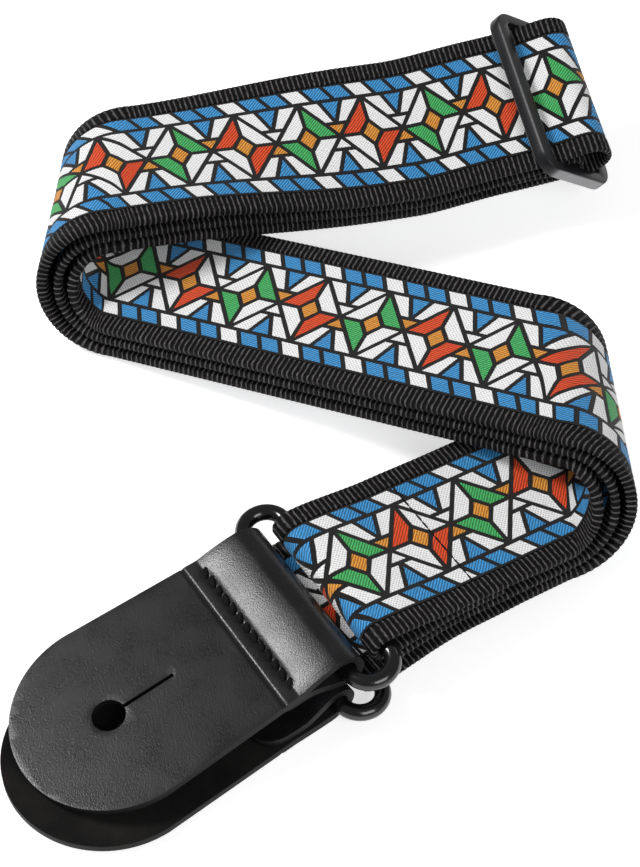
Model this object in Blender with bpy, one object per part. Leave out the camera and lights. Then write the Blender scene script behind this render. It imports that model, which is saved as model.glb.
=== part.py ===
"""Guitar strap of patterned ribbon on black webbing, laid on a table in three stacked zigzag runs.

Front end tab, oval ring, woven strap, slider and rear end tab are separate solids.
Sizes are millimetres and are turned into metres when a vertex is placed.
The strap is drawn as a side view: s runs along the stack of layers, o is the offset from its middle,
v goes across the width. place() then bends that side view round the two folds.
"""
import math

import bmesh
import bpy
import numpy as np

for old in list(bpy.data.objects):
    bpy.data.objects.remove(old, do_unlink=True)

MM = 0.001

# woven strap
STRAP_W = 50.0
WEB_T = 2.0
RIBBON_W = 38.0
RIBBON_T = 0.4
RIBBON_GAP = 0.3
RIBBON_SUNK = 0.1
LAYER = 5.2

# oval rings of round wire
WIRE_R = 2.25
BAR_GAP = 12.0
RING_STRAIGHT = 25.6
RING_TILT = 7.0
RING_OFF = 5.4
RING_S = 2.7
REAR_BACK = 5.3
EASE = 0.3

# leather end tabs
TAB_L = 83.0
TAB_W = 50.0
TAB_TIP_W = 55.5
TAB_T = 2.2
TAB_PITCH = 10.0
REAR_PITCH = 0.7
FLAP_L = 24.0
HOLE_D = 9.0
HOLE_FROM_TIP = 26.0
SLIT_L = 19.5
SLIT_W = 1.0
SEAM_FROM_FOLD = 18.4
STITCHES = 16
THREAD_R = 0.45
THREAD_GAP = 0.15

# slider with three bars
SLIDER_L = 32.0
SLIDER_W = 59.0
SLIDER_T = 4.0
FRAME_BAR = 5.0
RAIL = 3.8
CORNER_R = 7.0
CENTRE_BAR_R = 1.6
SLIDER_TILT = 46.0
SLIDER_S = 445.7
LOOP_PAST_BAR = 5.5
LOOP_SWELL = 1.0

# lie of the strap on the table
START = (-1.483, -71.332, 11.5225)
HEADING = 32.6
SAG_START, SAG_LENGTH, SAG_DEG = 8.0, 48.0, -4.5
RIGHT_S, RIGHT_R, RIGHT_WRAP, RIGHT_SKEW = 77.3, 11.0, 193.0, -29.2
LEFT_S, LEFT_R, LEFT_WRAP, LEFT_SKEW = 260.8, 12.8, -194.0, -21.3
ROLL_START, ROLL_END, ROLL_DEG = 319.0, 387.0, -14.9
RISE_S, RISE_LENGTH, RISE_DEG = 393.0, 40.0, 12.0
FRONT_YAW, REAR_YAW, REAR_ASIDE = 0.0, 3.9, 0.6
YAW_START, YAW_END = 12.0, 42.0
END_YAW, END_YAW_START, END_YAW_END = -3.4, 396.0, 429.0
SEWN_S = 33.0
SEWN_FLAP_END = 40.0
SETTLED_S = 48.0
TAIL_SEAM_BACK = 14.0
TAIL_FLAP = 20.0


def unit(a):
    return a / np.linalg.norm(a)


class Bend:
    """Part of a cylinder: the strap turns by deg about an axis skewed from straight across."""

    def __init__(self, start, radius, deg, skew):
        self.start, self.radius, self.sign = start, radius, math.copysign(1.0, deg)
        self.turn = math.radians(abs(deg))
        self.reach = radius * self.turn
        self.cos, self.sin = math.cos(math.radians(skew)), math.sin(math.radians(skew))
        self.tan = self.sin / self.cos
        self.end = start + self.reach / self.cos

    def enter(self, origin, t, w, n):
        self.origin, self.n = origin + t * self.start, n
        self.axis = w * self.cos + t * self.sin
        self.b = t * self.cos - w * self.sin
        b2, n2 = self.turned(self.turn)
        arc = self.arc(self.turn)
        t2 = b2 * self.cos + self.axis * self.sin
        w2 = self.axis * self.cos - b2 * self.sin
        return self.origin + arc - b2 * self.reach - t2 * self.start, t2, w2, n2

    def turned(self, angle):
        c, s = math.cos(angle), math.sin(angle) * self.sign
        return self.b * c + self.n * s, self.n * c - self.b * s

    def arc(self, angle):
        return (self.b * math.sin(angle) + self.n * (self.sign * (1.0 - math.cos(angle)))) * self.radius

    def along(self, s, v):
        return (s - self.start) * self.cos - v * self.sin

    def inside(self, s, v, o):
        angle = self.along(s, v) / self.radius
        across = (s - self.start) * self.sin + v * self.cos
        return self.origin + self.axis * across + self.arc(angle) + self.turned(angle)[1] * o


sag = Bend(SAG_START, SAG_LENGTH / math.radians(abs(SAG_DEG)), SAG_DEG, 0.0)
right_fold = Bend(RIGHT_S, RIGHT_R, RIGHT_WRAP, RIGHT_SKEW)
left_fold = Bend(LEFT_S, LEFT_R, LEFT_WRAP, LEFT_SKEW)
rise = Bend(RISE_S, RISE_LENGTH / math.radians(abs(RISE_DEG)), RISE_DEG, 0.0)
BENDS = (sag, right_fold, left_fold, rise)
head = math.radians(HEADING)
FRAMES = [(np.array(START), np.array([math.cos(head), math.sin(head), 0.0]),
           np.array([math.sin(head), -math.cos(head), 0.0]), np.array([0.0, 0.0, 1.0]))]
for bend in BENDS:
    FRAMES.append(bend.enter(*FRAMES[-1]))


def smooth(a, b, x):
    k = min(1.0, max(0.0, (x - a) / (b - a)))
    return k * k * (3.0 - 2.0 * k)


def turned_about(pivot, degrees, s, v):
    c, k = math.cos(math.radians(degrees)), math.sin(math.radians(degrees))
    return pivot + (s - pivot) * c + v * k, v * c - (s - pivot) * k


def place(s, o, v, rear=False):
    """Point of the laid strap, in millimetres. Its ends are yawed with the rings and the slider."""
    near_rings = 1.0 - smooth(YAW_START, YAW_END, s)
    near_slider = smooth(END_YAW_START, END_YAW_END, s)
    if rear:
        s, v = turned_about(RING_S - REAR_BACK, REAR_YAW * near_rings, s, v + REAR_ASIDE * near_rings)
    else:
        s, v = turned_about(RING_S, FRONT_YAW * near_rings, s, v)
    s, v = turned_about(SLIDER_S, END_YAW * near_slider, s, v)
    roll = math.radians(ROLL_DEG) * smooth(ROLL_START, ROLL_END, s)
    o, v = v * math.sin(roll) + o * math.cos(roll), v * math.cos(roll) - o * math.sin(roll)
    frame = FRAMES[0]
    for bend, after in zip(BENDS, FRAMES[1:]):
        along = bend.along(s, v)
        if along <= 0.0:
            break
        if along < bend.reach:
            return bend.inside(s, v, o)
        frame = after
    origin, t, w, n = frame
    return origin + t * s + w * v + n * o


def slant(s):
    """How far a cross line of the mesh leans along the strap, so that it follows the folds."""
    knots = (SETTLED_S, right_fold.start - 2, right_fold.end + 2, left_fold.start - 2, left_fold.end + 2,
             ROLL_END)
    leans = (0.0, right_fold.tan, right_fold.tan, left_fold.tan, left_fold.tan, 0.0)
    return float(np.interp(s, knots, leans))


def curve(p0, d0, p1, d1, steps):
    """Points of a smooth line between two points of the side view, both ends' directions given."""
    p0, d0, p1, d1 = (np.array(x, float) for x in (p0, d0, p1, d1))
    span = np.linalg.norm(p1 - p0)
    d0, d1 = unit(d0) * span, unit(d1) * span
    k = np.linspace(0.0, 1.0, steps + 1)[:, None]
    return (p0 * (2 * k**3 - 3 * k**2 + 1) + d0 * (k**3 - 2 * k**2 + k)
            + p1 * (3 * k**2 - 2 * k**3) + d1 * (k**3 - k**2))


def arc(centre, radius, deg0, deg1, steps):
    a = np.radians(np.linspace(deg0, deg1, steps + 1))
    return np.array(centre) + radius * np.stack([np.cos(a), np.sin(a)], -1)


def line(p0, p1, steps=1):
    k = np.linspace(0.0, 1.0, steps + 1)[:, None]
    return np.array(p0, float) * (1 - k) + np.array(p1, float) * k


def join(*pieces):
    points = [pieces[0][0]]
    for piece in pieces:
        points += [p for p in piece if np.linalg.norm(p - points[-1]) > 0.02]
    return np.array(points)


def normals(path):
    """Left-hand normals, mitred so that an offset line keeps its distance."""
    d = np.diff(path, axis=0)
    d /= np.linalg.norm(d, axis=1)[:, None]
    side = np.stack([-d[:, 1], d[:, 0]], -1)
    mean = np.concatenate([side[:1], side[:-1] + side[1:], side[-1:]])
    mean /= np.linalg.norm(mean, axis=1)[:, None]
    first = np.concatenate([side[:1], side])
    return mean / (mean * first).sum(1)[:, None]


def finish(name, bm, colour, roughness, metallic=0.0):
    bmesh.ops.recalc_face_normals(bm, faces=bm.faces[:])
    bmesh.ops.triangulate(bm, faces=bm.faces[:])
    mesh = bpy.data.meshes.new(name)
    bm.to_mesh(mesh)
    bm.free()
    ob = bpy.data.objects.new(name, mesh)
    bpy.context.scene.collection.objects.link(ob)
    mat = bpy.data.materials.new(name)
    mat.use_nodes = True
    bsdf = mat.node_tree.nodes["Principled BSDF"]
    bsdf.inputs["Base Color"].default_value = (*colour, 1.0)
    bsdf.inputs["Roughness"].default_value = roughness
    bsdf.inputs["Metallic"].default_value = metallic
    mesh.materials.append(mat)
    return ob


def add(bm, point):
    return bm.verts.new([c * MM for c in point])


def sweep(name, path, section, colour, roughness, rear):
    """Carry a closed section (v, height) along a side-view path of the strap."""
    bm = bmesh.new()
    rows = []
    for (s, o), (ns, no) in zip(path, normals(path)):
        rows.append([add(bm, place(s + ns * h + v * slant(s), o + no * h, v, rear)) for v, h in section])
    count = len(section)
    for a, b in zip(rows, rows[1:]):
        for i in range(count):
            j = (i + 1) % count
            bm.faces.new((a[i], a[j], b[j], b[i]))
    bm.faces.new(rows[0][::-1])
    bm.faces.new(rows[-1])
    return finish(name, bm, colour, roughness)


BLACK_WEB = (0.012, 0.010, 0.010)
WOVEN = (0.62, 0.62, 0.60)
LEATHER = (0.018, 0.017, 0.017)
WIRE = (0.010, 0.010, 0.011)
PLASTIC = (0.022, 0.023, 0.025)
THREAD = (0.009, 0.009, 0.009)

half_w, half_t = STRAP_W / 2, WEB_T / 2
half_r = RIBBON_W / 2
ribbon_top = half_t - RIBBON_SUNK
ribbon_low = ribbon_top - RIBBON_T
bed = ribbon_low - RIBBON_GAP
bed_w = half_r + RIBBON_GAP
WEB_SECTION = [(-half_w, -half_t), (half_w, -half_t), (half_w, half_t), (bed_w, half_t), (bed_w, bed),
               (-bed_w, bed), (-bed_w, half_t), (-half_w, half_t)]
RIBBON_SECTION = [(-half_r, ribbon_low), (half_r, ribbon_low), (half_r, ribbon_top), (-half_r, ribbon_top)]

# side view: where the ring bars are
tilt = math.radians(RING_TILT)
front_bar = np.array([RING_S, RING_OFF])
front_tab_bar = front_bar + BAR_GAP * np.array([-math.cos(tilt), -math.sin(tilt)])
rear_bar = np.array([RING_S - REAR_BACK, -RING_OFF])
rear_tab_bar = rear_bar + np.array([-BAR_GAP, 0.0])
loop_r = WIRE_R + EASE + half_t
slider_bar = np.array([SLIDER_S, 0.0])
bar_loop_r = CENTRE_BAR_R + EASE + half_t


def run(o, s0, s1):
    """Stations along the stack: close together in the folds, far apart on the flat."""
    stops = [SETTLED_S, *np.linspace(right_fold.start, right_fold.end, 15), *np.linspace(130, 245, 4),
             *np.linspace(left_fold.start, left_fold.end, 15), *np.linspace(ROLL_START, RISE_S, 8),
             *np.linspace(RISE_S, RISE_S + RISE_LENGTH, 8)[1:]]
    inner = [s for s in stops if min(s0, s1) + 1 < s < max(s0, s1) - 1]
    stations = sorted([s0, s1] + inner, reverse=bool(s0 > s1))
    return np.array([(s, o) for s in stations])


sewn_under = WEB_T + EASE
front_top = front_bar + (0, loop_r)
front_low = front_bar - (0, loop_r)
sewn_o = LAYER + 0.5
end_loop = slider_bar + (LOOP_PAST_BAR, 0)
end_loop_mid = end_loop + (0, LOOP_SWELL)
GAP_AT_JOIN = 0.4

front_path = join(
    line((SEWN_FLAP_END, sewn_o - sewn_under), (SEWN_S - 5, sewn_o + 0.3 - sewn_under)),
    curve((SEWN_S - 5, sewn_o + 0.3 - sewn_under), (-1, 0), front_low, (-1, 0), 4),
    arc(front_bar, loop_r, 270, 90, 12),
    curve(front_top, (1, 0), (SEWN_S - 5, sewn_o + 0.3), (1, -0.03), 4),
    curve((SEWN_S - 5, sewn_o + 0.3), (1, -0.03), (SETTLED_S, LAYER), (1, 0), 3),
    run(LAYER, SETTLED_S, SLIDER_S - 8),
    curve((SLIDER_S - 8, LAYER), (1, 0), end_loop_mid + (0, LAYER + LOOP_SWELL), (1, 0), 5),
    arc(end_loop_mid, LAYER + LOOP_SWELL, 90, -90, 12),
    line(end_loop - (0, LAYER), end_loop - (6, LAYER)))

rear_low = rear_bar - (0, loop_r)
rear_top = rear_bar + (0, loop_r)
back_path = join(
    line(end_loop - (6 + GAP_AT_JOIN, LAYER), end_loop - (12, LAYER)),
    run(-LAYER, end_loop[0] - 12, SETTLED_S),
    curve((SETTLED_S, -LAYER), (-1, 0), rear_low, (-1, 0), 6),
    arc(rear_bar, loop_r, 270, 90, 12))

tail_path = join(
    curve(rear_top + (GAP_AT_JOIN, 0), (1, 0), (SETTLED_S, 0), (1, 0), 6),
    run(0.0, SETTLED_S, SLIDER_S - TAIL_FLAP - 6),
    curve((SLIDER_S - TAIL_FLAP - 6, 0), (1, 0), (SLIDER_S - TAIL_SEAM_BACK, sewn_under / 2), (1, 0), 3),
    curve((SLIDER_S - TAIL_SEAM_BACK, sewn_under / 2), (1, 0), slider_bar + (0, bar_loop_r), (1, 0), 5),
    arc(slider_bar, bar_loop_r, 90, -90, 10),
    curve(slider_bar - (0, bar_loop_r), (-1, 0), (SLIDER_S - TAIL_SEAM_BACK, -sewn_under / 2), (-1, 0), 5),
    line((SLIDER_S - TAIL_SEAM_BACK, -sewn_under / 2), (SLIDER_S - TAIL_FLAP, -sewn_under / 2)))

for label, path in (("front", front_path), ("back", back_path), ("tail", tail_path)):
    sweep(label + "_webbing", path, WEB_SECTION, BLACK_WEB, 0.75, label != "front")
    sweep(label + "_ribbon", path, RIBBON_SECTION, WOVEN, 0.6, label != "front")


def thread_row(name, at, half_span, stitches, lift):
    """One row of heavy thread that rises over each stitch and dips between them; at() gives a point of it."""
    bm = bmesh.new()
    rows = []
    steps = stitches * 4
    for i in range(steps + 1):
        v = -half_span + 2 * half_span * i / steps
        rise = THREAD_R + THREAD_GAP + lift * abs(math.sin(math.pi * stitches * i / steps))
        ring = []
        for k in range(6):
            a = math.tau * k / 6
            ring.append(add(bm, at(v, THREAD_R * math.cos(a), rise + THREAD_R * math.sin(a))))
        rows.append(ring)
    for a, b in zip(rows, rows[1:]):
        for k in range(6):
            j = (k + 1) % 6
            bm.faces.new((a[k], a[j], b[j], b[k]))
    bm.faces.new(rows[0][::-1])
    bm.faces.new(rows[-1])
    return finish(name, bm, THREAD, 0.6)


def front_seam(v, along, rise):
    o = float(np.interp(SEWN_S, front_path[20:30, 0], front_path[20:30, 1]))
    return place(SEWN_S + along, o + half_t + rise, v)


def tail_seam(v, along, rise):
    return place(SLIDER_S - TAIL_SEAM_BACK - 2 + along, sewn_under / 2 + half_t + rise, v)


thread_row("fixed_end_stitch", front_seam, half_w - 3, 14, 0.3)
thread_row("tail_end_stitch", tail_seam, half_w - 3, 14, 0.2)


def wire_ring(name, bar, tab_bar, rear):
    """Oval of round wire: two straight bars and two round ends, in the plane of its bars."""
    mid, reach = (bar + tab_bar) / 2, (bar - tab_bar) / 2
    radius = np.linalg.norm(reach)
    along = reach / radius
    up = np.array([-along[1], along[0]])
    bm = bmesh.new()
    rings = []
    for side in (1, -1):
        for a in np.linspace(-90, 90, 13):
            turn = math.radians(a)
            p_along, p_v = -math.sin(turn) * side, side * (RING_STRAIGHT + radius * math.cos(turn))
            out_along, out_v = p_along, side * math.cos(turn)
            ring = []
            for k in range(12):
                q = math.tau * k / 12
                e = WIRE_R * math.cos(q)
                so = mid + along * (p_along * radius + out_along * e) + up * WIRE_R * math.sin(q)
                ring.append(add(bm, place(so[0], so[1], p_v + out_v * e, rear)))
            rings.append(ring)
    for a, b in zip(rings, rings[1:] + rings[:1]):
        for k in range(12):
            j = (k + 1) % 12
            bm.faces.new((a[k], a[j], b[j], b[k]))
    return finish(name, bm, WIRE, 0.25)


wire_ring("front_ring", front_bar, front_tab_bar, False)
wire_ring("rear_ring", rear_bar, rear_tab_bar, True)

tab_loop_r = WIRE_R + EASE + TAB_T / 2
flap_under = TAB_T + EASE


def tab_profile(bar, pitch, side):
    """Side view of a leather tab from its tip, round the ring bar and back under itself."""
    down = math.radians(pitch)
    back = np.array([-math.cos(down), -math.sin(down)])
    up = np.array([-back[1], back[0]]) * -side
    near = bar + up * tab_loop_r
    tip = near + back * TAB_L
    base = math.degrees(math.atan2(up[1], up[0]))
    turn = arc(bar, tab_loop_r, base, base - 180 * side, 12)
    under = near + back * (SEAM_FROM_FOLD - 6) - up * flap_under
    return tip, near, join(turn, curve(turn[-1], back, under, back, 4),
                           line(under, under + back * (FLAP_L - SEAM_FROM_FOLD + 6)))


def tab(name, bar, pitch, side):
    """Leather tab: a flat sheet with a round end and keyhole, then a strip round the bar."""
    tip, near, strip = tab_profile(bar, pitch, side)
    flat = unit(near - tip)
    up = np.array([-flat[1], flat[0]]) * side
    straight = TAB_L - TAB_TIP_W / 2
    plan = [(0.0, -TAB_W / 2), (0.0, TAB_W / 2)]
    for a in np.linspace(90, -90, 25):
        plan.append((straight + TAB_TIP_W / 2 * math.cos(math.radians(a)),
                     TAB_TIP_W / 2 * math.sin(math.radians(a))))
    hole = []
    hole_x = TAB_L - HOLE_FROM_TIP
    open_deg = math.degrees(math.asin(SLIT_W / HOLE_D))
    for a in np.linspace(180 - open_deg, -180 + open_deg, 21):
        hole.append((hole_x + HOLE_D / 2 * math.cos(math.radians(a)), HOLE_D / 2 * math.sin(math.radians(a))))
    hole += [(hole_x - SLIT_L, -SLIT_W / 2), (hole_x - SLIT_L, SLIT_W / 2)]

    bm = bmesh.new()
    sheet = bmesh.new()
    for loop in (plan, hole):
        verts = [sheet.verts.new((x, y, 0)) for x, y in loop]
        for a, b in zip(verts, verts[1:] + verts[:1]):
            sheet.edges.new((a, b))
    bmesh.ops.triangle_fill(sheet, edges=sheet.edges[:], use_beauty=True)
    sheet.verts.index_update()
    flat_tris = [[v.index for v in f.verts] for f in sheet.faces]
    total = len(sheet.verts)
    sheet.free()
    outline = plan + hole

    def both(so, normal, v):
        hi, lo = so + normal * TAB_T / 2, so - normal * TAB_T / 2
        return add(bm, place(hi[0], hi[1], v, side < 0)), add(bm, place(lo[0], lo[1], v, side < 0))

    pairs = [both(near - flat * x, up, v) for x, v in outline]
    for tri in flat_tris:
        bm.faces.new([pairs[i][0] for i in tri])
        bm.faces.new([pairs[i][1] for i in reversed(tri)])
    count = len(plan)
    for i in list(range(1, count)):
        j = (i + 1) % count
        bm.faces.new((pairs[i][0], pairs[j][0], pairs[j][1], pairs[i][1]))
    for i in range(count, total):
        j = i + 1 if i + 1 < total else count
        bm.faces.new((pairs[i][0], pairs[j][0], pairs[j][1], pairs[i][1]))
    rows = [(pairs[0], pairs[1])]
    for so, normal in list(zip(strip, normals(strip)))[1:]:
        rows.append((both(so, normal * side, -TAB_W / 2), both(so, normal * side, TAB_W / 2)))
    for (a, b), (c, d) in zip(rows, rows[1:]):
        bm.faces.new((a[0], b[0], d[0], c[0]))
        bm.faces.new((a[1], b[1], d[1], c[1]))
        bm.faces.new((a[0], a[1], c[1], c[0]))
        bm.faces.new((b[0], b[1], d[1], d[0]))
    (c, d) = rows[-1]
    bm.faces.new((c[0], d[0], d[1], c[1]))
    finish(name + "_tab_leather", bm, LEATHER, 0.45)

    def seam(v, along, rise):
        so = near - flat * (SEAM_FROM_FOLD + along - tab_loop_r) + up * (TAB_T / 2 + rise)
        return place(so[0], so[1], v, side < 0)

    thread_row(name + "_tab_stitch", seam, TAB_W / 2 - 4, STITCHES, 0.5 if side > 0 else 0.2)


tab("front", front_tab_bar, TAB_PITCH, 1)
tab("rear", rear_tab_bar, REAR_PITCH, -1)


def slider_point(x, y, z):
    """x along the plate from the right bar to the left bar, y across the strap, z out of the plate."""
    a = math.radians(SLIDER_TILT)
    return place(SLIDER_S - x * math.cos(a) + z * math.sin(a), x * math.sin(a) + z * math.cos(a), y)


def rounded(length, width, radius, steps):
    points = []
    for cx, cy, start in ((1, 1, 0), (-1, 1, 90), (-1, -1, 180), (1, -1, 270)):
        for k in range(steps + 1):
            a = math.radians(start + 90 * k / steps)
            points.append((cx * (length / 2 - radius) + radius * math.cos(a),
                           cy * (width / 2 - radius) + radius * math.sin(a)))
    return points


def slider():
    """Plate frame with eased edges, and a round middle bar let into its rails."""
    ease = 0.7
    bm = bmesh.new()
    loops = []
    window_l, window_w = SLIDER_L - 2 * FRAME_BAR, SLIDER_W - 2 * RAIL
    flank = 1 - 2 * ease / SLIDER_T
    for grow, height in ((-ease, -1), (0, -flank), (0, flank), (-ease, 1)):
        outer = rounded(SLIDER_L + 2 * grow, SLIDER_W + 2 * grow, CORNER_R + grow, 5)
        loops.append([add(bm, slider_point(x, y, height * SLIDER_T / 2)) for x, y in outer])
    for grow, height in ((ease, 1), (0, flank), (0, -flank), (ease, -1)):
        inner = rounded(window_l + 2 * grow, window_w + 2 * grow, 1.5 + grow, 5)
        loops.append([add(bm, slider_point(x, y, height * SLIDER_T / 2)) for x, y in inner])
    for a, b in zip(loops, loops[1:] + loops[:1]):
        for i in range(len(a)):
            j = (i + 1) % len(a)
            bm.faces.new((a[i], a[j], b[j], b[i]))
    frame = finish("slider", bm, PLASTIC, 0.4)
    bm = bmesh.new()
    reach = SLIDER_W / 2 - RAIL / 2
    ends = []
    for y in (-reach, reach):
        ends.append([add(bm, slider_point(CENTRE_BAR_R * math.cos(math.tau * k / 14), y,
                                          CENTRE_BAR_R * math.sin(math.tau * k / 14))) for k in range(14)])
    for i in range(14):
        j = (i + 1) % 14
        bm.faces.new((ends[0][i], ends[0][j], ends[1][j], ends[1][i]))
    bm.faces.new(ends[0][::-1])
    bm.faces.new(ends[1])
    bar = finish("slider_bar", bm, PLASTIC, 0.4)
    union = frame.modifiers.new("union", "BOOLEAN")
    union.operation = "UNION"
    union.solver = "EXACT"
    union.object = bar
    graph = bpy.context.evaluated_depsgraph_get()
    whole = bpy.data.meshes.new_from_object(frame.evaluated_get(graph))
    frame.modifiers.clear()
    material = frame.data.materials[0]
    frame.data = whole
    whole.materials.clear()
    whole.materials.append(material)
    bpy.data.objects.remove(bar, do_unlink=True)


slider()


def tab_face(bar, pitch, side, from_fold):
    """Point on the smooth face of a tab, and that face's outward direction."""
    tip, near, _ = tab_profile(bar, pitch, side)
    flat = unit(near - tip)
    up = np.array([-flat[1], flat[0]]) * side
    so = near - flat * from_fold + up * TAB_T / 2
    face = place(*so, 0, side < 0)
    return face, place(*(so + up), 0, side < 0) - face


HOLE_AT = TAB_L - HOLE_FROM_TIP
front_face, front_out = tab_face(front_tab_bar, TAB_PITCH, 1, HOLE_AT + 13)
rear_face, rear_out = tab_face(rear_tab_bar, REAR_PITCH, -1, HOLE_AT + 13)
for label, p in (("front ring hinge", place(*front_bar, 0)), ("front tab hinge", place(*front_tab_bar, 0)),
                 ("rear ring hinge", place(*rear_bar, 0, True)),
                 ("rear tab hinge", place(*rear_tab_bar, 0, True)), ("slider", place(*slider_bar, 0)),
                 ("across at the front ring", place(*front_bar, 1) - place(*front_bar, 0)),
                 ("across at the rear ring", place(*rear_bar, 1, True) - place(*rear_bar, 0, True)),
                 ("along at the slider", place(SLIDER_S + 1, 0, 0) - place(SLIDER_S, 0, 0)),
                 ("front tab face", front_face), ("faces", front_out),
                 ("rear tab face", rear_face), ("faces", rear_out),
                 ("front hole", tab_face(front_tab_bar, TAB_PITCH, 1, HOLE_AT)[0]),
                 ("rear hole", tab_face(rear_tab_bar, REAR_PITCH, -1, HOLE_AT)[0])):
    print(label, [round(float(c), 4) for c in p])
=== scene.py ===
"""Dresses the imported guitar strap: woven bands, ribbon, leather tabs, rings, slider and a pale stage."""
import math

import bmesh
import bpy
import numpy as np
from bpy.props import FloatProperty, FloatVectorProperty, IntProperty, PointerProperty
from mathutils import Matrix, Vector


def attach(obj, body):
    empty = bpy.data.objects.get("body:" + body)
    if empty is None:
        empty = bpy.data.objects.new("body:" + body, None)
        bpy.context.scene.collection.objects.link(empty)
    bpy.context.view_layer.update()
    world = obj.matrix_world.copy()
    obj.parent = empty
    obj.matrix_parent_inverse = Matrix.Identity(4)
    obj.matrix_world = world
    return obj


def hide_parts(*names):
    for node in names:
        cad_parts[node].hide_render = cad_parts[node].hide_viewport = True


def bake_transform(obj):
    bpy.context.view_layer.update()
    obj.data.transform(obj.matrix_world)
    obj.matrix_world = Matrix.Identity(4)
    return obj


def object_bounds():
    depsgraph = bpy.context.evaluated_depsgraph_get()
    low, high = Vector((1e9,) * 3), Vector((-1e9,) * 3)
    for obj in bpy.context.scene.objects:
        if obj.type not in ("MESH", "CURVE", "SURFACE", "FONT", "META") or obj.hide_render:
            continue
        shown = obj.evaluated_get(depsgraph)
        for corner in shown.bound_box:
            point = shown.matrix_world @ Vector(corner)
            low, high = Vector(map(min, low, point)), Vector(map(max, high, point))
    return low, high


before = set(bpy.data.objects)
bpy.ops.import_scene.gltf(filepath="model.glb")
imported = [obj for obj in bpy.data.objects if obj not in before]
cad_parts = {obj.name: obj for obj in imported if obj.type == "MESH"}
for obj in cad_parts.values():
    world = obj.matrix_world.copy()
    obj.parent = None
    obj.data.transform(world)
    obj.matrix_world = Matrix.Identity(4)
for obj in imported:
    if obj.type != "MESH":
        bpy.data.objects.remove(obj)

CAD_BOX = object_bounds()
MM = 0.001

bl_info = {
    "name": "Guitar strap dresser",
    "version": (1, 0, 0),
    "blender": (4, 5, 0),
    "location": "View3D > Sidebar > Strap",
    "description": "Builds the finished guitar strap on its packed frame",
    "category": "Add Mesh",
}

# The lie of the strap and the sizes of its hardware, as in the part's source, in millimetres and degrees.
START = (-1.483, -71.332, 11.5225)
HEADING = 32.6
SAG_START, SAG_LENGTH, SAG_DEG = 8.0, 48.0, -4.5
RIGHT_S, RIGHT_R, RIGHT_WRAP, RIGHT_SKEW = 77.3, 11.0, 193.0, -29.2
LEFT_S, LEFT_R, LEFT_WRAP, LEFT_SKEW = 260.8, 12.8, -194.0, -21.3
ROLL_START, ROLL_END, ROLL_DEG = 319.0, 387.0, -14.9
RISE_S, RISE_LENGTH, RISE_DEG = 393.0, 40.0, 12.0
FRONT_YAW, REAR_YAW, REAR_ASIDE = 0.0, 3.9, 0.6
YAW_START, YAW_END = 12.0, 42.0
END_YAW, END_YAW_START, END_YAW_END = -3.4, 396.0, 429.0
LAYER, EASE = 5.2, 0.3
WIRE_R, BAR_GAP, RING_STRAIGHT = 2.25, 12.0, 25.6
RING_TILT, RING_OFF, RING_S, REAR_BACK = 7.0, 5.4, 2.7, 5.3
TAB_L, TAB_W, TAB_TIP_W, TAB_T, TAB_PITCH, REAR_PITCH = 83.0, 50.0, 55.5, 2.2, 10.0, 0.7
FLAP_L, SEAM_FROM_FOLD = 24.0, 18.4
HOLE_D, HOLE_FROM_TIP, SLIT_L, SLIT_W = 9.0, 26.0, 19.5, 1.0
SLIDER_S, SLIDER_TILT, LOOP_PAST_BAR, LOOP_SWELL = 445.7, 46.0, 5.5, 1.0
SLIDER_L, SLIDER_W, SLIDER_T, FRAME_BAR, RAIL, CORNER_R = 32.0, 59.0, 4.0, 5.0, 3.8, 7.0
CENTRE_BAR_R = 1.6
SEWN_S, SEWN_FLAP_END, SETTLED_S = 33.0, 40.0, 48.0
TAIL_SEAM_BACK, TAIL_FLAP = 14.0, 20.0

# The dressing's own sizes, in millimetres.
# The lengths of band all but touch, so that no light shows between them.
JOIN_GAP = 0.02
RIB_STEPS, TAIL_BINDING = 6, 0.4
RIBBON_SUNK, GROUND_SUNK, GROUND_BOTTOM, BED_AIR, CELL_T = 0.1, 0.1, 0.4, 0.3, 0.16
PATTERN_SHIFT, FLAT_STEP, BENT_STEP = 6.0, 6.0, 0.7
ROW_HALF, CROSS_STITCHES = 21.0, 15
TAB_SEAM = TAB_L - SEAM_FROM_FOLD + 3.65
FLAP_CORNER_R, TAB_EDGE_R, FRONT_PUFF, REAR_PUFF = 7.0, 0.75, 2.3, 0.8
SLIDER_EDGE_R, WINDOW_R = 0.5, 1.5
FLOOR_DROP = 0.2


def millimetres(name, description, default):
    return FloatProperty(name=name, description=description + ", in millimetres", default=default)


def dye(name, description, default):
    return FloatVectorProperty(name=name, description=description, subtype="COLOR", default=default)


class StrapSizes(bpy.types.PropertyGroup):
    width: millimetres("Strap width", "Width of the webbing", 50.0)
    thickness: millimetres("Webbing thickness", "At the ribbed margins", 2.0)
    ribbon_width: millimetres("Ribbon width", "Width of the mosaic ribbon", 38.0)
    rib_pitch: millimetres("Rib pitch", "Distance between ribs of the margins", 1.6)
    rib_height: millimetres("Rib height", "Depth of the valley between ribs", 0.25)
    binding: millimetres("Bound edge", "Extra thickness under the margins", 1.2)
    repeat: millimetres("Pattern repeat", "Length of one mosaic repeat", 40.0)
    leading: millimetres("Leading", "Width of the black lines between cells", 1.35)
    stitches: IntProperty(name="Tab stitches", description="Stitches in each tab's row", default=13)


class StrapColours(bpy.types.PropertyGroup):
    white: dye("White cells", "White yarn", (0.94, 0.94, 0.93))
    blue: dye("Blue cells", "Blue yarn", (0.052, 0.300, 0.640))
    orange: dye("Orange cells", "Orange yarn", (0.900, 0.310, 0.045))
    red: dye("Red cells", "Red-orange yarn", (0.860, 0.078, 0.020))
    green: dye("Green cells", "Green yarn", (0.066, 0.450, 0.125))
    webbing: dye("Webbing", "Black yarn of the webbing", (0.0042, 0.0036, 0.0037))
    leather: dye("Leather", "Dyed grain side", (0.0068, 0.0066, 0.0078))


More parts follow.
